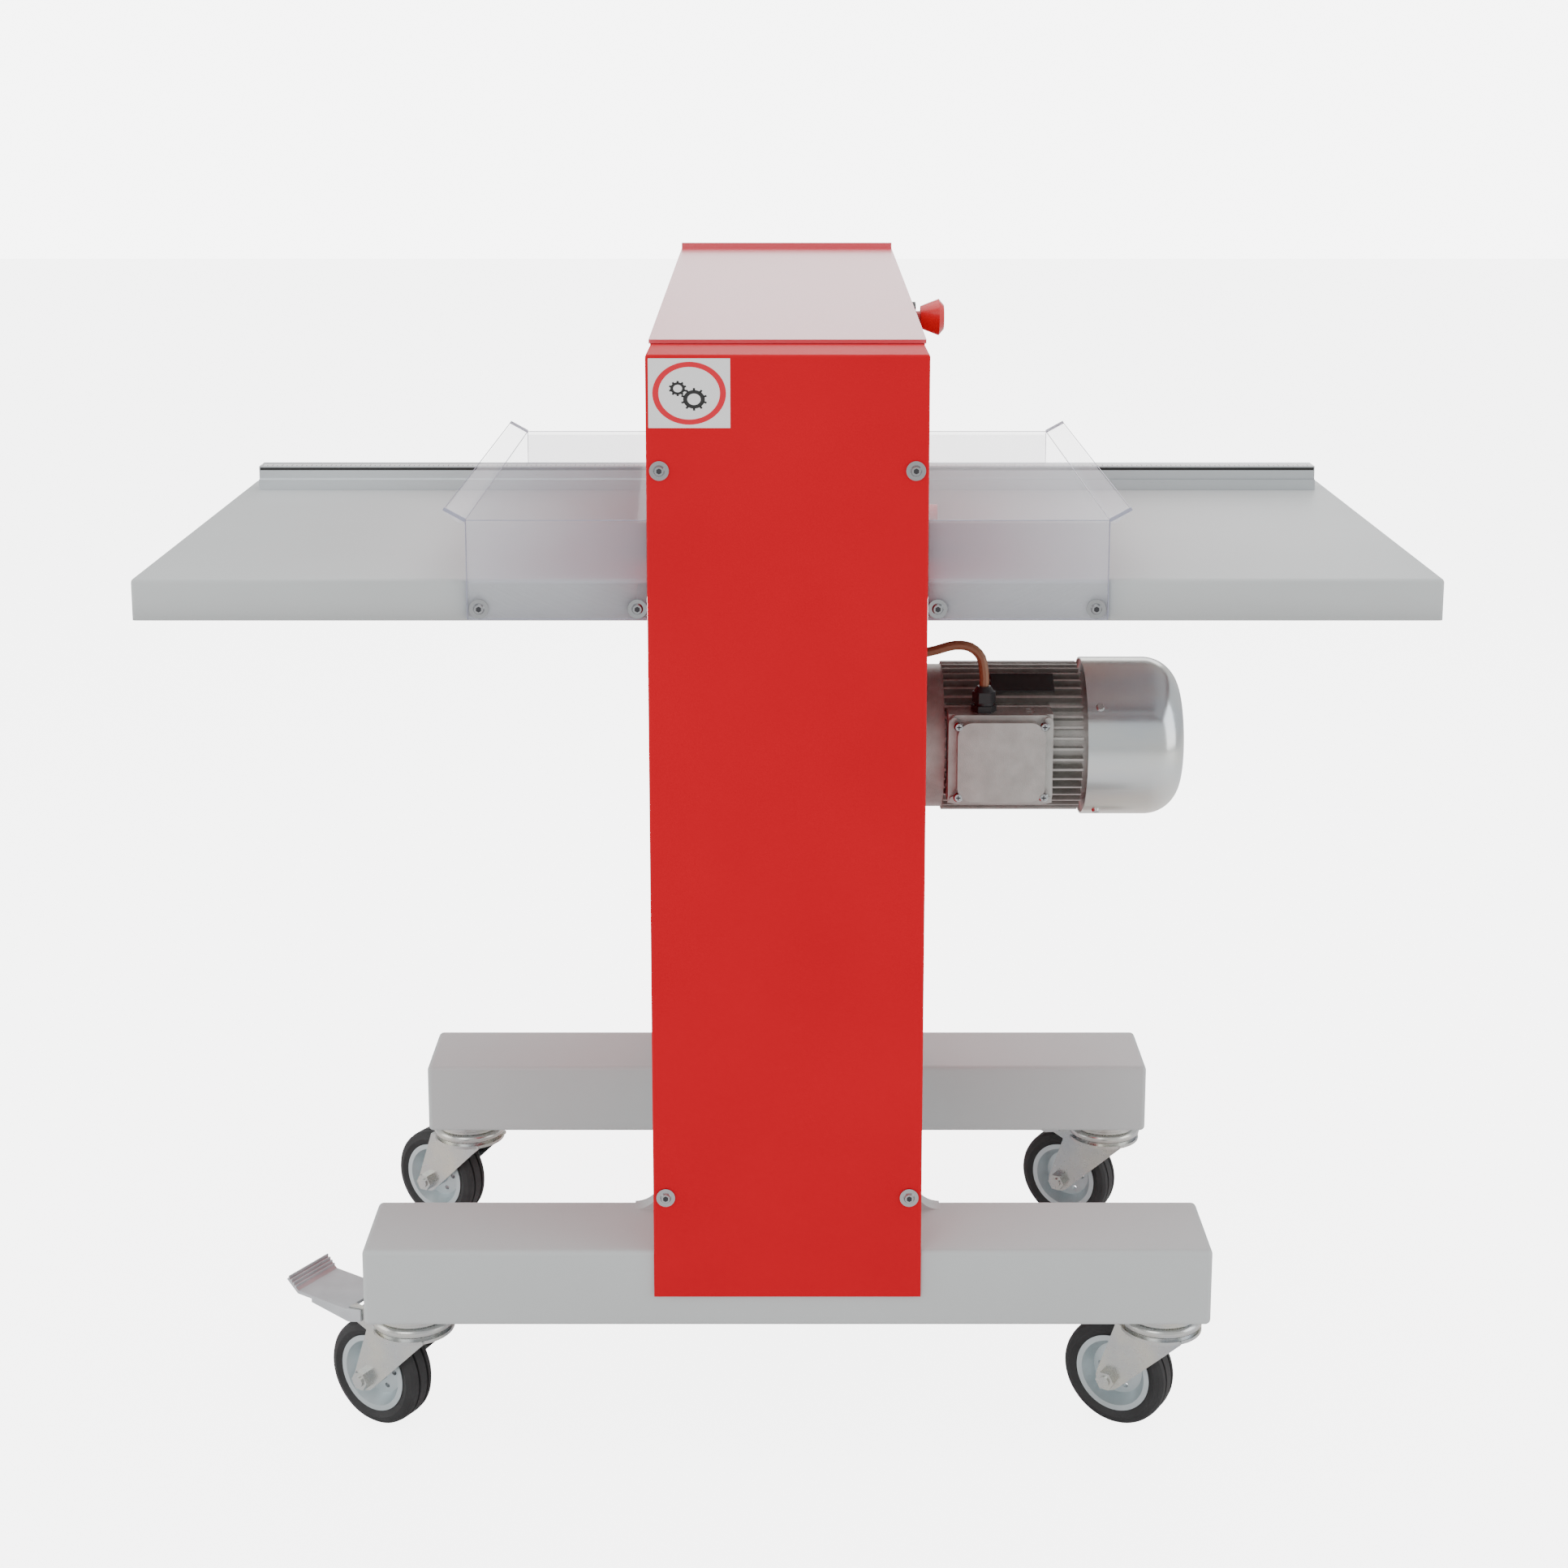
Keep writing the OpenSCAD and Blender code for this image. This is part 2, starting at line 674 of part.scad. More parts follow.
// A tube swept along a route that lies in a plane of constant Y
module tube(route, d, sides = 10, steps = 3) {
    last = (len(route) - 1) * steps;
    centre = [for (k = [0:last]) on_route(route, k / steps)];
    rings = [for (k = [0:last]) let (
        along = centre[min(k + 1, last)] - centre[max(k - 1, 0)],
        side = [along[2], 0, -along[0]] / norm(along))
        for (j = [0:sides - 1]) centre[k] + d / 2 * (cos(j * 360 / sides) * side
            + [0, sin(j * 360 / sides), 0])];
    faces = concat([[for (j = [0:sides - 1]) j]],
        [for (k = [0:last - 1], j = [0:sides - 1]) let (n = (j + 1) % sides)
            [k * sides + j, (k + 1) * sides + j, (k + 1) * sides + n, k * sides + n]],
        [[for (j = [sides - 1:-1:0]) last * sides + j]]);
    polyhedron(rings, faces);
}

module motor_cable() {
    color([0.45, 0.27, 0.17]) tube(cable_route, cable_d);
}

// ---- controls ----

estop_z = cover_top - 8;

module estop_collar() {
    color([0.15, 0.15, 0.16]) difference() {
        union() {
            rod_x(wall_x, wall_x + 8, 30, estop_y, estop_z);
            rod_x(plate_x - 24, wall_x, 22 - 2 * run, estop_y, estop_z);
        }
        rod_x(plate_x - 20, wall_x + 9, 12, estop_y, estop_z);
    }
}

module estop_head() {
    color([0.85, 0.05, 0.08]) {
        rod_x(wall_x - 10, wall_x + 14, 12 - 2 * run, estop_y, estop_z);
        translate([wall_x + 13, estop_y, estop_z]) rotate([0, 90, 0]) {
            cylinder(h = 10, d1 = 22, d2 = 30);
            translate([0, 0, 10]) cylinder(h = 8, d1 = 30, d2 = 36);
            translate([0, 0, 18]) cylinder(h = 5, d1 = 36, d2 = 24);
        }
    }
}

module jog_button() {
    color([0.85, 0.05, 0.08]) {
        rod_x(plate_x - 10, wall_x + 5, 10 - 2 * run, jog_y, jog_z);
        rod_x(wall_x + 5, wall_x + 16, 14, jog_y, jog_z);
        rod_x(plate_x - 14, plate_x - 10, 14, jog_y, jog_z);
    }
}

// ---- castors ----

// Places its children on castor i, whose trail runs along -X
module at_castor(i) {
    translate([castor_at[i][0], castor_at[i][1], 0]) rotate(castor_yaw) children();
}

module castor_heads() {
    color("silver") for (i = [0:3]) at_castor(i) {
        translate([0, 0, castor_h - 8]) cylinder(h = 8, d = race_d - 4);
        translate([0, 0, castor_h - 26.5]) cylinder(h = 26.5 + 18, d = stud_d);
        translate([0, 0, castor_h - 30]) cylinder(h = 3.5, d = 22);
    }
}

module castor_fork(i, braked) {
    plate_z = castor_h - 26;
    color("silver") at_castor(i) difference() {
        union() {
            translate([0, 0, plate_z]) cylinder(h = 3, d = race_d);
            block([-34, -fork_x - 3, plate_z], [30, fork_x + 3, plate_z + 3]);
            translate([0, 0, plate_z + 3]) cylinder(h = 14.4, d = race_d - 6);
            translate([0, 0, plate_z + 10]) rotate_extrude()
                translate([race_d / 2 - 4, 0]) circle(5, $fn = 24);
            for (y = [-fork_x - 3, fork_x]) slab(y, y + 3) {
                hull() {
                    translate([-castor_trail, wheel_z]) circle(12, $fn = 32);
                    translate([-34, plate_z]) square([64, 3]);
                }
                if (braked) hull() {
                    translate(pedal_pin) circle(8, $fn = 32);
                    translate([-30, plate_z - 6]) square([10, 20]);
                }
            }
        }
        translate([0, 0, plate_z - 1]) cylinder(h = 30, d = stud_d + 2 * run);
        rod_y(-fork_x - 4, fork_x + 4, axle_d + 2 * run, -castor_trail, wheel_z);
        if (braked) rod_y(-fork_x - 4, fork_x + 4, 6 + 2 * run, pedal_pin[0], pedal_pin[1]);
    }
}

module castor_fork_1() { castor_fork(0, true); }
module castor_fork_2() { castor_fork(1, false); }
module castor_fork_3() { castor_fork(2, false); }
module castor_fork_4() { castor_fork(3, true); }

// Spins an outline of radius and width about the wheel's axle
module spin_wheel(i) {
    at_castor(i) translate([-castor_trail, 0, wheel_z]) rotate([90, 0, 0])
        rotate_extrude($fn = 96) children();
}

module castor_rim(i) {
    rim_r = tyre_bore / 2;
    half = wheel_w / 2 - 2;
    color([0.8, 0.83, 0.84]) difference() {
        spin_wheel(i) polygon([[axle_d / 2 + run, -fork_x + 0.4], [11, -fork_x + 0.4],
            [11, -4], [rim_r - 12, -2], [rim_r - 5, -half], [rim_r, -half],
            [rim_r, half], [rim_r - 5, half], [rim_r - 12, 2], [11, 4],
            [11, fork_x - 0.4], [axle_d / 2 + run, fork_x - 0.4]]);
        at_castor(i) for (a = [0:60:300]) rod_y(-8, 8, 5,
            -castor_trail + 17 * cos(a), wheel_z + 17 * sin(a));
    }
}

module castor_tyre(i) {
    r = wheel_d / 2;
    half = wheel_w / 2;
    color([0.07, 0.07, 0.07]) spin_wheel(i) polygon([[tyre_bore / 2, -half + 3],
        [r - 8, -half], [r - 3, -half + 2], [r - 0.6, -half + 5], [r, -7],
        [r - 2, -6.5], [r - 2, -5], [r, -4.5], [r, 4.5], [r - 2, 5], [r - 2, 6.5],
        [r, 7], [r - 0.6, half - 5], [r - 3, half - 2], [r - 8, half],
        [tyre_bore / 2, half - 3]]);
}

module castor_axle(i) {
    color("silver") at_castor(i) {
        rod_y(-fork_x - 13, fork_x + 3, axle_d, -castor_trail, wheel_z);
        translate([-castor_trail, fork_x + 9, wheel_z]) rotate([90, 0, 0])
            cylinder(h = 6, d = 18, $fn = 6);
        translate([-castor_trail, -fork_x - 3, wheel_z]) rotate([90, 0, 0])
            difference() {
                cylinder(h = 8, d = 18, $fn = 6);
                translate([0, 0, -1]) cylinder(h = 10, d = axle_d + 2 * run);
            }
    }
}

module castor_rim_1() { castor_rim(0); }
module castor_rim_2() { castor_rim(1); }
module castor_rim_3() { castor_rim(2); }
module castor_rim_4() { castor_rim(3); }
module castor_tyre_1() { castor_tyre(0); }
module castor_tyre_2() { castor_tyre(1); }
module castor_tyre_3() { castor_tyre(2); }
module castor_tyre_4() { castor_tyre(3); }
module castor_axle_1() { castor_axle(0); }
module castor_axle_2() { castor_axle(1); }
module castor_axle_3() { castor_axle(2); }
module castor_axle_4() { castor_axle(3); }

module brake_pedal(i) {
    flap_y = fork_x + 3.4;
    px = pedal_pin[0];
    pz = pedal_pin[1];
    color("silver") at_castor(i) {
        rod_y(-flap_y - 1, flap_y + 1, 6, px, pz);
        slab(-flap_y - 2, flap_y + 2) polygon([[px - 10, pz + 2], [px - 68, pz + 4],
            [px - 80, pz + 14], [px - 82, pz + 12], [px - 69, pz + 1], [px - 10, pz - 1]]);
        for (y = [-flap_y - 2, flap_y]) slab(y, y + 2)
            polygon([[px + 7, pz - 6], [px + 7, pz + 5], [px - 14, pz + 2],
                [px - 52, pz + 3], [px - 52, pz - 3], [px - 8, pz - 10]]);
        for (k = [0:3]) slab(-flap_y - 2, flap_y + 2)
            translate([px - 72 - 2.6 * k, pz + 6 + 2.4 * k]) square([1.3, 2.4]);
    }
}

module brake_pedal_1() { brake_pedal(0); }
module brake_pedal_4() { brake_pedal(3); }

near_beam();
far_beam();
near_side_plate();
far_side_plate();
tie_bars();
gearbox_shelf();
gear_cover();
left_wall();
right_wall();
drive_cabinet();
cabinet_panel();
top_lid();
cover_screws();
infeed_table();
outfeed_table();
table_brackets();
infeed_rail();
outfeed_rail();
infeed_guard();
outfeed_guard();
guard_screws();
lower_roller();
upper_roller();
roller_bearings();
lower_gear();
upper_gear();
drive_gear();
output_shaft();
gearbox();
motor_adapter();
worm_shaft();
motor_rotor();
motor_body();
motor_fan();
fan_cover();
terminal_box();
cable_gland();
motor_cable();
estop_collar();
estop_head();
jog_button();
castor_heads();
castor_fork_1();
castor_fork_2();
castor_fork_3();
castor_fork_4();
castor_rim_1();
castor_rim_2();
castor_rim_3();
castor_rim_4();
castor_tyre_1();
castor_tyre_2();
castor_tyre_3();
castor_tyre_4();
castor_axle_1();
castor_axle_2();
castor_axle_3();
castor_axle_4();
brake_pedal_1();
brake_pedal_4();
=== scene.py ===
# %% [markdown]
# # A roller press on castors
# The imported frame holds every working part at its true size. This script loads
# it, gives each part its finish, and swaps the plainest sheet-metal solids for
# pieces with folded, rounded edges. Everything is in metres.

# %% Load the frame
import math

import bmesh
import bpy
from mathutils import Matrix, Vector


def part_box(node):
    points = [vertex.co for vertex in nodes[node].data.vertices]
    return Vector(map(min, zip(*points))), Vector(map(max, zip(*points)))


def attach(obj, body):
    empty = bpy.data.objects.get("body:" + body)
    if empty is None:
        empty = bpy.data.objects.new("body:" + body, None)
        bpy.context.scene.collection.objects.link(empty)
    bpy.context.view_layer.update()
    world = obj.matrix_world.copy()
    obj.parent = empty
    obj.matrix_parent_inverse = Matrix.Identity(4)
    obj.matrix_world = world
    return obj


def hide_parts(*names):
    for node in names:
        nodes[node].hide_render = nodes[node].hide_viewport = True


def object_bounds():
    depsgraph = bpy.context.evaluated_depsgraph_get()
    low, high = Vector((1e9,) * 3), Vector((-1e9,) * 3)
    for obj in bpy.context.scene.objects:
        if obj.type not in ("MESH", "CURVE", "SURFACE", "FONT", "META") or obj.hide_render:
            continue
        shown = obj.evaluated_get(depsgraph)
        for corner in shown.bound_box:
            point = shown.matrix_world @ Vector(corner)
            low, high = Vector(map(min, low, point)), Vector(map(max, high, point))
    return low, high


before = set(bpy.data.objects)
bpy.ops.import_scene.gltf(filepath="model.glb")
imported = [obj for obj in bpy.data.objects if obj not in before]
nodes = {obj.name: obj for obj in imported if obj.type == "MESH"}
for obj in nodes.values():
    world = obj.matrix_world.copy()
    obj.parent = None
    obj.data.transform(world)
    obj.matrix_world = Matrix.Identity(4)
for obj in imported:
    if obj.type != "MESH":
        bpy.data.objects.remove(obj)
cad_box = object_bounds()
low, high = Vector(cad_box[0]), Vector(cad_box[1])
print("frame:", len(nodes), "nodes, size", [round(v, 3) for v in high - low])

# %% [markdown]
# ## Camera
# A product shot of a machine keeps its uprights nearly upright. A lens shift does
# that, but a large one pushes the machine out of every other view, so the camera
# leans down most of the way and shifts for the rest.

# %% Camera
cover_front = Vector(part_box("gear_cover")[0]).y
eye_side = -0.003
eye_distance = 2.055
eye_height = 1.2285
lean_down = 10.5
camera_data = bpy.data.cameras.new("camera")
camera_data.lens = 57.4
camera_data.sensor_width = 36
camera_data.shift_y = -0.161
camera = bpy.data.objects.new("camera", camera_data)
camera.location = (eye_side, cover_front - eye_distance, eye_height)
camera.rotation_euler = (math.radians(90 - lean_down), 0, 0)
bpy.context.scene.collection.objects.link(camera)
bpy.context.scene.camera = camera
print("camera at", tuple(round(v, 3) for v in camera.location))

# %% [markdown]
# ## Light and floor
# Large soft panels above and at both sides give powder coat its quiet sheen and
# leave long, clean highlights on zinc and clear sheet. A white backdrop that is
# bright enough to look white would also wash out the machine, so the backdrop and
# the floor are brighter only where the camera looks straight at them.

# %% Soft panels
def soft_panel(name, place, target, size, watts):
    data = bpy.data.lights.new(name, "AREA")
    data.shape = "RECTANGLE"
    data.size, data.size_y = size
    data.energy = watts
    lamp = bpy.data.objects.new(name, data)
    lamp.location = place
    aim = Vector(target) - Vector(place)
    lamp.rotation_euler = aim.to_track_quat("-Z", "Y").to_euler()
    bpy.context.scene.collection.objects.link(lamp)
    return lamp


soft_panel("top_panel", (0, 0.3, 2.6), (0, 0, 0.6), (2.4, 2.0), 26)
soft_panel("front_panel", (-1.2, -3.0, 2.0), (0, 0, 0.6), (1.8, 1.8), 24)
soft_panel("left_panel", (-2.6, -0.6, 1.2), (0, 0, 0.7), (1.6, 2.0), 16)
soft_panel("right_panel", (2.6, -0.9, 1.2), (0, 0, 0.6), (1.6, 2.0), 20)
soft_panel("back_panel", (0.6, 2.8, 1.9), (0, 0, 0.6), (2.0, 1.6), 18)
print("five soft panels")


# %% A brightness that depends on who is looking
def add_brightness(tree, always, when_seen, socket):
    """Drives a strength: always, and when_seen on top where the camera sees it."""
    path = tree.nodes.new("ShaderNodeLightPath")
    total = tree.nodes.new("ShaderNodeMath")
    total.operation = "MULTIPLY_ADD"
    total.inputs[1].default_value = when_seen
    total.inputs[2].default_value = always
    tree.links.new(path.outputs["Is Camera Ray"], total.inputs[0])
    tree.links.new(total.outputs["Value"], socket)


# %% Backdrop and floor
world = bpy.data.worlds.new("studio")
world.use_nodes = True
backdrop = world.node_tree.nodes["Background"]
backdrop.inputs["Color"].default_value = (1, 1, 1, 1)
add_brightness(world.node_tree, 0.85, 6.0, backdrop.inputs["Strength"])
bpy.context.scene.world = world

floor_half = 14
floor_drop = 0.0005
bm = bmesh.new()
bmesh.ops.create_grid(bm, x_segments=1, y_segments=1, size=floor_half)
floor_mesh = bpy.data.meshes.new("floor")
bm.to_mesh(floor_mesh)
bm.free()
floor = bpy.data.objects.new("floor", floor_mesh)
floor_mesh.transform(Matrix.Translation((0, 0, low.z - floor_drop)))
bpy.context.scene.collection.objects.link(floor)
print("backdrop and a floor", 2 * floor_half, "m wide")

# %% [markdown]
# ## Materials
# Each finish starts from one Principled shader. Fine noise breaks up its colour
# and roughness, and a bump gives the texture that a finger would feel: orange
# peel on powder coat, grain on castings, faint drawing lines on bright metal.

# %% A finish with its own grain
def finish(name, colour, rough, metal=0.0, vary=0.06, vary_scale=9.0, grain=900.0,
           bump=0.05, rough_vary=0.06, stretch=(1, 1, 1), coat=0.0, specular=0.5, tint=None):
    """A Principled material with mottled colour, uneven roughness and a fine bump."""
    mat = bpy.data.materials.new(name)
    mat.use_nodes = True
    tree = mat.node_tree
    shader = tree.nodes["Principled BSDF"]
    shader.inputs["Metallic"].default_value = metal
    shader.inputs["Specular IOR Level"].default_value = specular
    if coat:
        shader.inputs["Coat Weight"].default_value = coat
        shader.inputs["Coat Roughness"].default_value = 0.15
    place = tree.nodes.new("ShaderNodeTexCoord")
    scale = tree.nodes.new("ShaderNodeMapping")
    scale.inputs["Scale"].default_value = stretch
    tree.links.new(place.outputs["Object"], scale.inputs["Vector"])

    cloud = tree.nodes.new("ShaderNodeTexNoise")
    cloud.inputs["Scale"].default_value = vary_scale
    cloud.inputs["Detail"].default_value = 5
    tree.links.new(scale.outputs["Vector"], cloud.inputs["Vector"])
    ramp = tree.nodes.new("ShaderNodeValToRGB")
    ramp.color_ramp.elements[0].position = 0.3
    ramp.color_ramp.elements[1].position = 0.72
    other = tint or [min(1.0, c * (1 + vary)) for c in colour]
    ramp.color_ramp.elements[0].color = (*[c * (1 - vary) for c in colour], 1)
    ramp.color_ramp.elements[1].color = (*other, 1)
    tree.links.new(cloud.outputs["Fac"], ramp.inputs["Fac"])
    tree.links.new(ramp.outputs["Color"], shader.inputs["Base Color"])

    fine = tree.nodes.new("ShaderNodeTexNoise")
    fine.inputs["Scale"].default_value = grain
    fine.inputs["Detail"].default_value = 3
    tree.links.new(scale.outputs["Vector"], fine.inputs["Vector"])
    span = tree.nodes.new("ShaderNodeMapRange")
    span.inputs["To Min"].default_value = max(0.02, rough - rough_vary)
    span.inputs["To Max"].default_value = min(1.0, rough + rough_vary)
    tree.links.new(fine.outputs["Fac"], span.inputs["Value"])
    tree.links.new(span.outputs["Result"], shader.inputs["Roughness"])
    relief = tree.nodes.new("ShaderNodeBump")
    relief.inputs["Strength"].default_value = bump
    relief.inputs["Distance"].default_value = 0.0004
    tree.links.new(fine.outputs["Fac"], relief.inputs["Height"])
    tree.links.new(relief.outputs["Normal"], shader.inputs["Normal"])
    return mat


# %% Coats
red_coat = finish("red_coat", (0.60, 0.0, 0.012), 0.50, vary=0.03, grain=1400, bump=0.22,
                  specular=0.10)
# The lid's red is made paler and pinker than the other red coat: painted sheen on the top
# face, over its real clear coat.
lid_coat_painted_sheen = finish("lid_coat_painted_sheen", (0.66, 0.03, 0.06), 0.30, vary=0.03, grain=1100, bump=0.5,
                  specular=1.0, coat=0.6)
grey_coat = finish("grey_coat", (0.56, 0.585, 0.585), 0.45, vary=0.015, grain=1300, bump=0.16)
print("three coats")

# %% Metals
zinc = finish("zinc", (0.56, 0.59, 0.62), 0.26, metal=1.0, vary=0.10, vary_scale=26,
              grain=260, bump=0.06, tint=(0.66, 0.64, 0.56))
pedal_zinc = finish("pedal_zinc", (0.60, 0.62, 0.64), 0.55, metal=0.55, vary=0.08,
                    vary_scale=40, grain=500, bump=0.10)
screw_zinc = finish("screw_zinc", (0.42, 0.43, 0.44), 0.22, metal=1.0, vary=0.05, grain=700)
# This dark finish is painted shade, laid on screw heads where their socket and cross recesses
# are.
painted_recess_shade = finish("painted_recess_shade", (0.05, 0.05, 0.055), 0.5, metal=0.6, grain=700)
pale_zinc = finish("pale_zinc", (0.58, 0.64, 0.66), 0.38, metal=0.85, vary=0.05,
                   vary_scale=30, grain=420, bump=0.08)
dome_zinc = finish("dome_zinc", (0.62, 0.68, 0.74), 0.20, metal=1.0, vary=0.10,
                   vary_scale=12, grain=180, bump=0.03, stretch=(0.4, 1, 1),
                   tint=(0.78, 0.76, 0.66))
ground_steel = finish("ground_steel", (0.58, 0.58, 0.58), 0.22, metal=1.0, vary=0.04,
                      grain=700, bump=0.06, stretch=(1, 0.05, 1))
gear_steel = finish("gear_steel", (0.30, 0.30, 0.31), 0.36, metal=1.0, vary=0.1, grain=600)
casting = finish("casting", (0.46, 0.45, 0.43), 0.44, metal=0.85, vary=0.12, vary_scale=60,
                 grain=1100, bump=0.55, rough_vary=0.12)
rail_metal = finish("rail_metal", (0.62, 0.65, 0.67), 0.30, metal=1.0, vary=0.04,
                    grain=900, bump=0.06, stretch=(0.03, 1, 1))
print("ten metals, one of them for the dark of a socket")

# %% Plastics, rubber, paper and ink
black_plastic = finish("black_plastic", (0.018, 0.018, 0.02), 0.42, grain=1200, bump=0.12)
red_plastic = finish("red_plastic", (0.72, 0.012, 0.02), 0.28, vary=0.03, grain=500,
                     bump=0.04, coat=0.3)
tyre_rubber = finish("tyre_rubber", (0.020, 0.020, 0.021), 0.62, vary=0.3, vary_scale=40,
                     grain=900, bump=0.3)
sheath = finish("sheath", (0.27, 0.12, 0.06), 0.45, vary=0.08, grain=900, bump=0.1)
paper_white = finish("paper_white", (0.86, 0.86, 0.86), 0.35, vary=0.01, grain=900, bump=0.02)
ink_red = finish("ink_red", (0.72, 0.0, 0.02), 0.35, vary=0.02, grain=900, bump=0.02)
ink_black = finish("ink_black", (0.012, 0.012, 0.012), 0.4, grain=900, bump=0.02)
print("rubber, sheath and printed finishes")

# %% Studio floor
floor_paint = finish("floor_paint", (0.90, 0.90, 0.90), 0.6, vary=0.004, vary_scale=1.5,
                     grain=300, bump=0.01)
floor_shader = floor_paint.node_tree.nodes["Principled BSDF"]
floor_shader.inputs["Emission Color"].default_value = (1, 1, 1, 1)
add_brightness(floor_paint.node_tree, 0, 5.0, floor_shader.inputs["Emission Strength"])
floor_mesh.materials.append(floor_paint)
print("floor painted")

# %% Clear polycarbonate
def clear_sheet(name, colour, alpha, rough):
    mat = finish(name, colour, rough, vary=0.01, grain=200, bump=0.005, rough_vary=0.02)
    mat.node_tree.nodes["Principled BSDF"].inputs["Alpha"].default_value = alpha
    return mat


clear = clear_sheet("clear_polycarbonate", (0.72, 0.74, 0.86), 0.17, 0.05)
# The edge finish is painted shade: a darker, less clear copy of the sheet for the strips
# along the guards' edges and folds.
painted_edge_shade = clear_sheet("polycarbonate_painted_edge_shade", (0.42, 0.43, 0.55), 0.75, 0.15)
print(len(bpy.data.materials), "materials")

# %% [markdown]
# ## Finishes on the frame's own parts
# A working part whose shape is already right keeps its mesh and only changes
# its material.

# %% Paint the frame's parts
numbered = "1234"
finishes = {
    red_coat: ["gear_cover", "left_wall", "right_wall", "drive_cabinet", "cabinet_panel"],
    lid_coat_painted_sheen: ["top_lid"],
    grey_coat: ["near_beam", "far_beam", "near_side_plate", "far_side_plate",
                "gearbox_shelf", "infeed_table", "outfeed_table", "table_brackets"],
    screw_zinc: ["cover_screws", "guard_screws"],
    pedal_zinc: ["brake_pedal_1", "brake_pedal_4"],
    zinc: ["castor_heads", *["castor_fork_" + n for n in numbered],
           *["castor_axle_" + n for n in numbered]],
    pale_zinc: ["castor_rim_" + n for n in numbered],
    dome_zinc: ["fan_cover"],
    ground_steel: ["tie_bars", "lower_roller", "upper_roller", "roller_bearings",
                   "output_shaft", "worm_shaft", "motor_rotor"],
    gear_steel: ["lower_gear", "upper_gear", "drive_gear"],
    casting: ["gearbox", "motor_adapter", "motor_body", "terminal_box"],
    rail_metal: ["infeed_rail", "outfeed_rail"],
    clear: ["infeed_guard", "outfeed_guard"],
    black_plastic: ["motor_fan", "cable_gland", "estop_collar"],
    red_plastic: ["estop_head", "jog_button"],
    tyre_rubber: ["castor_tyre_" + n for n in numbered],
    sheath: ["motor_cable"],
}
for material, names in finishes.items():
    for name in names:
        mesh = nodes[name].data
        mesh.materials.clear()
        mesh.materials.append(material)
print("painted", sum(len(names) for names in finishes.values()), "parts")

# %% [markdown]
# ## Folded sheet metal
# A press brake leaves a small round along every fold, and that round is what
# catches the light. Each sheet part starts as a cube on its frame part's box,
# loses the faces that are open, gets its edges bevelled and then its thickness.

# %% Helpers for pieces
def keep_piece(bm, name, material, body):
    """Turns a bmesh into a finished piece that rides on a body."""
    bmesh.ops.recalc_face_normals(bm, faces=bm.faces)
    mesh = bpy.data.meshes.new(name)
    bm.to_mesh(mesh)
    bm.free()
    mesh.materials.append(material)
    piece = bpy.data.objects.new(name, mesh)
    bpy.context.scene.collection.objects.link(piece)
    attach(piece, body)
    return piece


def block(bm, start, end):
    """Adds a cube between two corners and returns its vertices."""
    made = bmesh.ops.create_cube(bm, size=1)["verts"]
    start, end = Vector(start), Vector(end)
    bmesh.ops.scale(bm, vec=end - start, verts=made)
    bmesh.ops.translate(bm, vec=(start + end) / 2, verts=made)
    return made


def round_edges(bm, radius, segments):
    """Rounds every edge that has a face on both sides."""
    bmesh.ops.bevel(bm, geom=[e for e in bm.edges if len(e.link_faces) == 2],
                    offset=radius, segments=segments, profile=0.5, affect="EDGES",
                    material=-1, clamp_overlap=True)


def smooth_faces(piece, sharp_from):
    """Smooths a piece, but keeps folds sharper than an angle in degrees."""
    for face in piece.data.polygons:
        face.use_smooth = True
    piece.data.set_sharp_from_angle(angle=math.radians(sharp_from))


def thicken(piece, wall):
    """Gives a surface the thickness of its sheet, inwards from the outer face."""
    skin = piece.modifiers.new("sheet", "SOLIDIFY")
    skin.thickness = wall
    skin.offset = -1


def folded_shell(name, start, end, open_sides, radius, wall, material):
    """A box folded from one sheet, without the faces on its open sides."""
    bm = bmesh.new()
    block(bm, start, end)
    gone = [f for f in bm.faces if any(f.normal.dot(Vector(s)) > 0.9 for s in open_sides)]
    bmesh.ops.delete(bm, geom=gone, context="FACES")
    round_edges(bm, radius, 4)
    piece = keep_piece(bm, name, material, "frame")
    smooth_faces(piece, 40)
    thicken(piece, wall)
    return piece


# %% Tables
sheet = 0.002
table_fold = 0.0035
for side, name in ((-1, "infeed_table"), (1, "outfeed_table")):
    start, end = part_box(name)
    top = folded_shell(name + "_sheet", start, end, [(0, 0, -1), (-side, 0, 0)],
                       table_fold, sheet, grey_coat)
    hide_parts(name)
    print(name, "folded,", len(top.data.polygons), "faces")

# %% Foot beams
beam_round = 0.005
for name in ("near_beam", "far_beam"):
    start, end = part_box(name)
    bm = bmesh.new()
    block(bm, start, end)
    round_edges(bm, beam_round, 5)
    beam = keep_piece(bm, name + "_tube", grey_coat, "frame")
    smooth_faces(beam, 50)
    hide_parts(name)
print("two foot beams with rounded edges")

# %% [markdown]
# ## Gear cover
# The cover is one folded box whose front panel hangs on down over the foot
# beam. The hanging part is extruded from the front panel's lower edge.

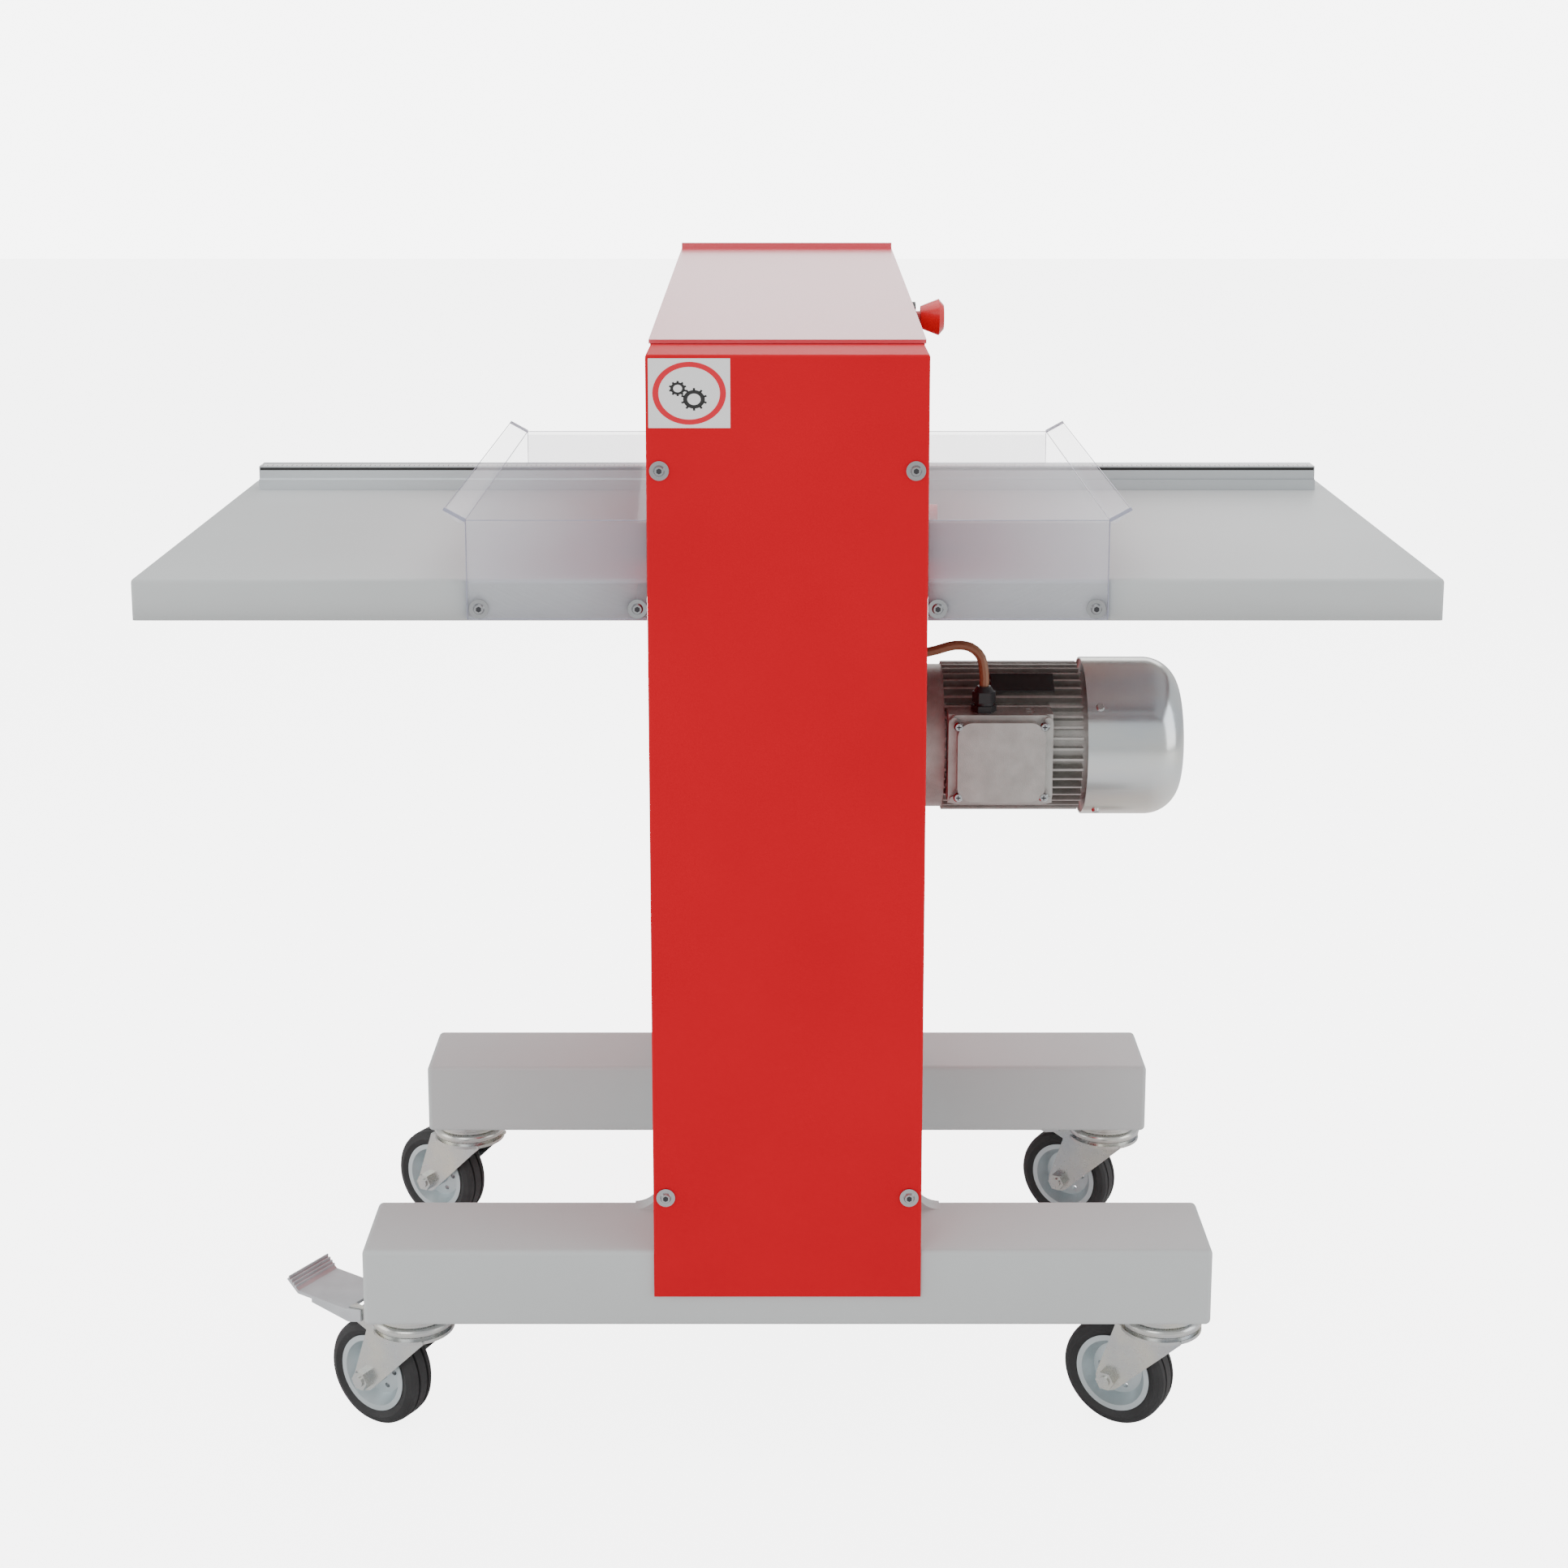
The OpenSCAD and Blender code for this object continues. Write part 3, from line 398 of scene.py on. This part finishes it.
# %% Gear cover
start, end = (Vector(c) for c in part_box("gear_cover"))
beam_gap = 0.001
beam_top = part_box("near_beam")[1][2] + beam_gap
cover_fold = 0.002
near_zero = 1e-4
bm = bmesh.new()
block(bm, (start.x, start.y, beam_top), end)
gone = [f for f in bm.faces if f.normal.y > 0.9 or f.normal.z < -0.9]
bmesh.ops.delete(bm, geom=gone, context="FACES")
lower_edge = [e for e in bm.edges if all(v.co.y < start.y + near_zero and
              v.co.z < beam_top + near_zero for v in e.verts)]
hung = bmesh.ops.extrude_edge_only(bm, edges=lower_edge)["geom"]
bmesh.ops.translate(bm, vec=(0, 0, start.z - beam_top),
                    verts=[g for g in hung if isinstance(g, bmesh.types.BMVert)])
folds = [e for e in bm.edges if len(e.link_faces) == 2 and e.calc_face_angle(0) > 1]
bmesh.ops.bevel(bm, geom=folds, offset=cover_fold, segments=3, profile=0.5, affect="EDGES",
                material=-1)
cover = keep_piece(bm, "gear_cover_sheet", red_coat, "frame")
thicken(cover, sheet)
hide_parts("gear_cover")
print("gear cover folded")

# %% [markdown]
# ## Label, rulers and nameplate
# Printed things are thin pieces of their own, a fraction of a millimetre thick,
# so their edges catch light as a real sticker's do.

# %% Helpers for shapes that face the front
def facing_front(x, y, z, stretch=1):
    """Turns a shape that faces +Z to face -Y, at a place, squeezed in height."""
    return Matrix.Translation((x, y, z)) @ Matrix.Diagonal((1, 1, stretch, 1)) @ \
        Matrix.Rotation(math.radians(90), 4, "X")


def flat_ring(bm, centre, outer, inner, y, thick, stretch):
    """A flat ring that faces -Y, made by bridging two circles."""
    loops = []
    for radius in (outer, inner):
        made = bmesh.ops.create_circle(bm, segments=64, radius=radius)["verts"]
        loops += dict.fromkeys(e for v in made for e in v.link_edges)
        bmesh.ops.transform(bm, matrix=facing_front(centre[0], y, centre[1], stretch),
                            verts=made)
    faces = bmesh.ops.bridge_loops(bm, edges=loops)["faces"]
    grown = bmesh.ops.extrude_face_region(bm, geom=faces)["geom"]
    bmesh.ops.translate(bm, vec=(0, -thick, 0),
                        verts=[g for g in grown if isinstance(g, bmesh.types.BMVert)])


# %% Label and its ring
label_w, label_h, label_t = 0.068, 0.058, 0.0003
label_x = start.x + 0.0025
label_z = end.z - 0.003
sunk = 0.0002
ink = 0.0001
squeeze = 0.86
ring_outer, ring_inner = 0.0305, 0.0255
bm = bmesh.new()
block(bm, (label_x, start.y - label_t, label_z - label_h),
      (label_x + label_w, start.y + sunk, label_z))
keep_piece(bm, "label_backing", paper_white, "frame")
middle = (label_x + label_w / 2, label_z - label_h / 2)
bm = bmesh.new()
flat_ring(bm, middle, ring_outer, ring_inner, start.y - label_t, ink, squeeze)
keep_piece(bm, "label_ring", ink_red, "frame")
print("label", label_w, "x", label_h)

# %% Two meshing cogs on the label
cog_teeth = 10
tooth_half = 0.0009
bm = bmesh.new()
for cog_x, cog_z, cog_r in ((0.004, -0.005, 0.0090), (-0.0095, 0.004, 0.0060)):
    centre = (middle[0] + cog_x, middle[1] + cog_z)
    flat_ring(bm, centre, cog_r, cog_r * 0.62, start.y - label_t, ink, squeeze)
    for step in range(cog_teeth):
        angle = step * math.tau / cog_teeth
        tooth = block(bm, (-tooth_half, -ink, cog_r * 0.95), (tooth_half, 0, cog_r * 1.22))
        turn = Matrix.Translation((centre[0], start.y - label_t, centre[1])) @ \
            Matrix.Diagonal((1, 1, squeeze, 1)) @ Matrix.Rotation(angle, 4, "Y")
        bmesh.ops.transform(bm, matrix=turn, verts=tooth)
keep_piece(bm, "label_cogs", ink_black, "frame")
print("two cogs with", cog_teeth, "teeth each")

# %% Ruler strips on the rails
strip_t = 0.0004
strip_w = 0.014
strip_inset = 0.0045
end_inset = 0.001
mark_pitch = 0.005
mark_w = 0.0006
long_mark, short_mark = 0.008, 0.004
line_front, line_back = 0.0036, 0.004
line_low, line_high = 0.004, 0.0012
for name in ("infeed_rail", "outfeed_rail"):
    start, end = (Vector(c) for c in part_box(name))
    strip_start = start.y + strip_inset
    bm = bmesh.new()
    block(bm, (start.x + end_inset, strip_start, end.z),
          (end.x - end_inset, strip_start + strip_w, end.z + strip_t))
    keep_piece(bm, name + "_ruler", paper_white, "frame")
    bm = bmesh.new()
    marks = int((end.x - start.x - 4 * end_inset) / mark_pitch)
    for step in range(marks):
        depth = long_mark if step % 2 == 0 else short_mark
        x = start.x + 3 * end_inset + step * mark_pitch
        block(bm, (x, strip_start, end.z + strip_t),
              (x + mark_w, strip_start + depth, end.z + strip_t + ink))
    block(bm, (start.x + end_inset, start.y + line_front, end.z - line_low),
          (end.x - end_inset, start.y + line_back, end.z - line_high))
    keep_piece(bm, name + "_marks", ink_black, "frame")
    print(name, marks, "marks")

# %% [markdown]
# ## Small parts on the motor
# A motor has a nameplate on its fins, screws that hold the fan cover and screws at
# the corners of the terminal box. Each is a cube or a short cone that is turned to
# face outwards, because at this size a modelled thread or recess would not show.

# %% Blank nameplate
start, end = (Vector(c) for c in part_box("motor_body"))
dome_start, dome_end = (Vector(c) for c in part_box("fan_cover"))
axis_y, axis_z = (dome_start.y + dome_end.y) / 2, (dome_start.z + dome_end.z) / 2
dome_radius = (dome_end.z - dome_start.z) / 2
fin_drop = 0.004
plate_lift = 0.001
plate_radius = dome_radius - fin_drop + plate_lift
plate_along = 0.085
plate_half = Vector((0.030, 0.0006, 0.012))
lean = math.radians(58)
bm = bmesh.new()
block(bm, -plate_half, plate_half)
round_edges(bm, 0.0003, 1)
place = Matrix.Translation((start.x + plate_along, axis_y - plate_radius * math.cos(lean),
                            axis_z + plate_radius * math.sin(lean)))
bmesh.ops.transform(bm, matrix=place @ Matrix.Rotation(-lean, 4, "X"), verts=bm.verts)
keep_piece(bm, "motor_nameplate", ink_black, "frame")
print("nameplate", 2 * plate_half.x, "m long")

# %% Screws round the fan cover
screw_from_edge = 0.012
screw_lift = 0.001
bm = bmesh.new()
for step in range(4):
    angle = math.radians(35 + 90 * step)
    made = bmesh.ops.create_cone(bm, cap_ends=True, segments=20, radius1=0.0042,
                                 radius2=0.003, depth=0.003)["verts"]
    radius = dome_radius + screw_lift
    place = Matrix.Translation((dome_start.x + screw_from_edge,
                                axis_y - radius * math.cos(angle),
                                axis_z + radius * math.sin(angle)))
    outward = Vector((0, -math.cos(angle), math.sin(angle))).to_track_quat("Z", "Y")
    bmesh.ops.transform(bm, matrix=place @ outward.to_matrix().to_4x4(), verts=made)
keep_piece(bm, "fan_cover_screws", zinc, "frame")
print("four fan cover screws")

# %% Corner screws on the terminal box
start, end = (Vector(c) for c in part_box("terminal_box"))
inset, head_r, head_t = 0.009, 0.0046, 0.0022
head_sunk = 0.0006
cross_long, cross_wide = 0.0044, 0.0009
cross_front, cross_back = 0.0008, 0.0004
bm = bmesh.new()
cross = bmesh.new()
for x in (start.x + inset, end.x - inset):
    for z in (start.z + inset, end.z - inset):
        made = bmesh.ops.create_cone(bm, cap_ends=True, segments=24, radius1=head_r,
                                     radius2=head_r * 0.72, depth=head_t)["verts"]
        bmesh.ops.transform(bm, matrix=facing_front(x, start.y + head_sunk, z), verts=made)
        # Each head gets a thin dark cross: painted shade of its cross recess.
        for wide, tall in ((cross_long, cross_wide), (cross_wide, cross_long)):
            block(cross, (x - wide / 2, start.y - cross_front, z - tall / 2),
                  (x + wide / 2, start.y - cross_back, z + tall / 2))
keep_piece(bm, "terminal_box_screws", screw_zinc, "frame")
keep_piece(cross, "terminal_box_painted_cross_shade", painted_recess_shade, "frame")
print("four terminal box screws")

# %% [markdown]
# ## Painted shade in the sockets of the flanged screws
# The housing and the guards are held by flanged button heads with a hexagon
# socket. Their places are read from the screws' own meshes: the points that lie at
# the outermost Y of a node are grouped into heads, and each group's middle takes a
# thin dark hexagon, painted shade where the socket's recess is.


# %% Find the heads
same_plane = 0.0004
head_spread = 0.014


def screw_ends(name):
    """Middles of the screw heads at both Y ends of a node."""
    box_start, box_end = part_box(name)
    points = [nodes[name].matrix_world @ v.co for v in nodes[name].data.vertices]
    middles = []
    for face_y, out in ((box_start[1], -1), (box_end[1], 1)):
        groups = []
        for point in (p for p in points if abs(p.y - face_y) < same_plane):
            for group in groups:
                if (group[0] - point).length < head_spread:
                    group.append(point)
                    break
            else:
                groups.append([point])
        for group in groups:
            middle = sum(group, Vector()) / len(group)
            middles.append((middle.x, face_y, middle.z, out))
    return middles


# %% Dark hexagons of painted socket shade
socket_r = 0.0025
socket_t = 0.0004
socket_lift = 0.0001
ends = screw_ends("cover_screws") + screw_ends("guard_screws")
bm = bmesh.new()
for x, y, z, out in ends:
    made = bmesh.ops.create_cone(bm, cap_ends=True, segments=6, radius1=socket_r,
                                 radius2=socket_r, depth=socket_t)["verts"]
    bmesh.ops.transform(bm, matrix=facing_front(x, y + out * socket_lift, z), verts=made)
keep_piece(bm, "painted_screw_socket_shade", painted_recess_shade, "frame")
print(len(ends), "sockets")

# %% [markdown]
# ## Bright edges of the clear guards
# ## Painted shade along the clear guards' edges
# Clear sheet carries light to its cut edges and bends, which read as darker
# lines. Thin, darker, less clear strips laid along them paint that shade and draw the guards'
# outline.

# %% Guard edges in painted shade
edge = 0.0006
lip = 0.018
roof_height = 0.085
thick = 0.003
lip_edge = 0.0015
for side, name in ((-1, "infeed_guard"), (1, "outfeed_guard")):
    start, end = (Vector(c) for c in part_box(name))
    wall_side = end.x if side < 0 else start.x
    tip = start.x if side < 0 else end.x
    fold_x = tip - side * lip
    roof = start.z + roof_height
    bm = bmesh.new()
    runs = [((fold_x, start.y, start.z), (fold_x, start.y + thick, roof)),
            ((wall_side, start.y, roof), (fold_x, start.y, roof)),
            ((wall_side, start.y, start.z), (fold_x, start.y, start.z)),
            ((fold_x, start.y, roof), (fold_x, end.y, roof)),
            ((fold_x, end.y, start.z), (fold_x, end.y, roof)),
            ((wall_side, end.y, roof), (fold_x, end.y, roof)),
            ((tip, start.y, end.z - 0.001), (tip, end.y, end.z - 0.001))]
    for a, b in runs:
        first = [min(p, q) - edge / 2 for p, q in zip(a, b)]
        last = [max(p, q) + edge / 2 for p, q in zip(a, b)]
        block(bm, first, last)
    for y in (start.y, end.y):
        slope = Vector((side * lip, 0, end.z - roof))
        made = block(bm, (0, -edge, -lip_edge), (slope.length, edge, lip_edge))
        turn = Matrix.Rotation(-math.atan2(slope.z, slope.x), 4, "Y")
        bmesh.ops.transform(bm, matrix=Matrix.Translation((fold_x, y, roof)) @ turn,
                            verts=made)
    keep_piece(bm, name + "_edges", painted_edge_shade, "frame")
print("guard edges drawn")
